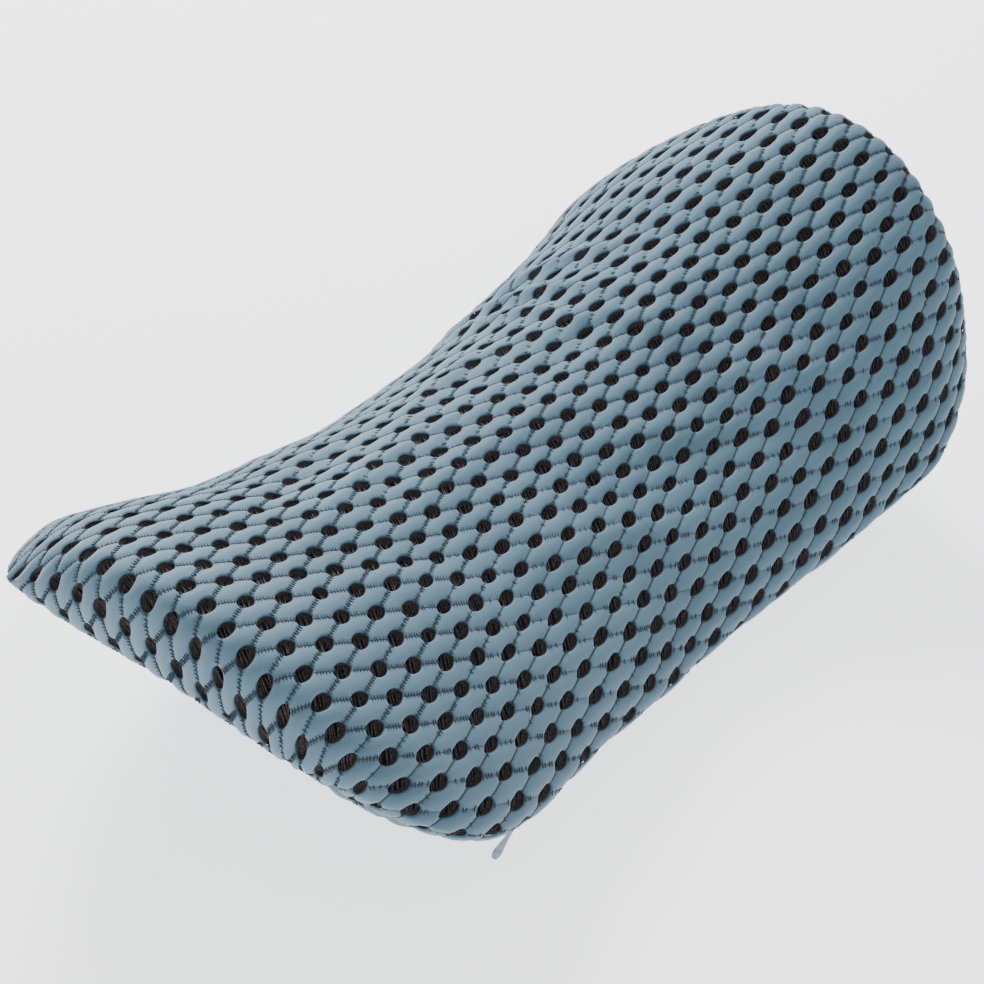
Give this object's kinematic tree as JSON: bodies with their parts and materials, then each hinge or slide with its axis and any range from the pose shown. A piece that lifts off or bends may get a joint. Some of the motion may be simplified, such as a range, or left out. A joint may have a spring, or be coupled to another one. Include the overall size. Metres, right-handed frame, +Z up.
{
  "type": "lumbar support cushion",
  "caption": "Saddle-shaped lumbar support cushion: a stuffed liner in a zipped cover of open spacer mesh, arched across and curled up at both ends.",
  "frame": {"origin": "on the floor, in the middle of the flat stretch of the base that the cushion lies on", "axes": "+X along the length, towards the end with the zip's bottom stop; +Y across the width, away from the zip; +Z up, from the base through the arched top"},
  "size_m": [0.5092, 0.2692, 0.1671],
  "materials": {
    "mesh_blue": "soft polyester spacer mesh with oval holes",
    "liner_black": "matt dark open net",
    "foam_grey": "soft loose filling",
    "tape_blue": "woven tape",
    "nylon_blue": "nylon coil",
    "painted_metal": "satin enamel on zinc"
  },
  "bodies": {
    "cushion": {"cover_upper_panel": "mesh_blue", "cover_base_panel": "mesh_blue", "liner_upper_panel": "liner_black", "liner_base_panel": "liner_black", "filling": "foam_grey", "zip_tape_upper": "tape_blue", "zip_tape_lower": "tape_blue", "zip_teeth_upper": "nylon_blue", "zip_teeth_lower": "nylon_blue", "zip_top_stop_upper": "painted_metal", "zip_top_stop_lower": "painted_metal", "zip_bottom_stop": "painted_metal"},
    "slider": {"zip_slider": "painted_metal"},
    "pull": {"zip_pull": "painted_metal"}
  },
  "joints": [
    {"name": "zip_travel", "type": "hinge", "parent": "cushion", "child": "slider", "pos_m": [-0.00843, -0.24818, 0.43536], "axis": [-0.0577, -0.9495, -0.3085], "range_deg": [0, 39.2]},
    {"name": "pull_swing", "type": "hinge", "parent": "slider", "child": "pull", "pos_m": [-0.15168, -0.10969, 0.03102], "axis": [-0.9465, -0.0463, 0.3195], "range_deg": [-45, 115]}
  ]
}
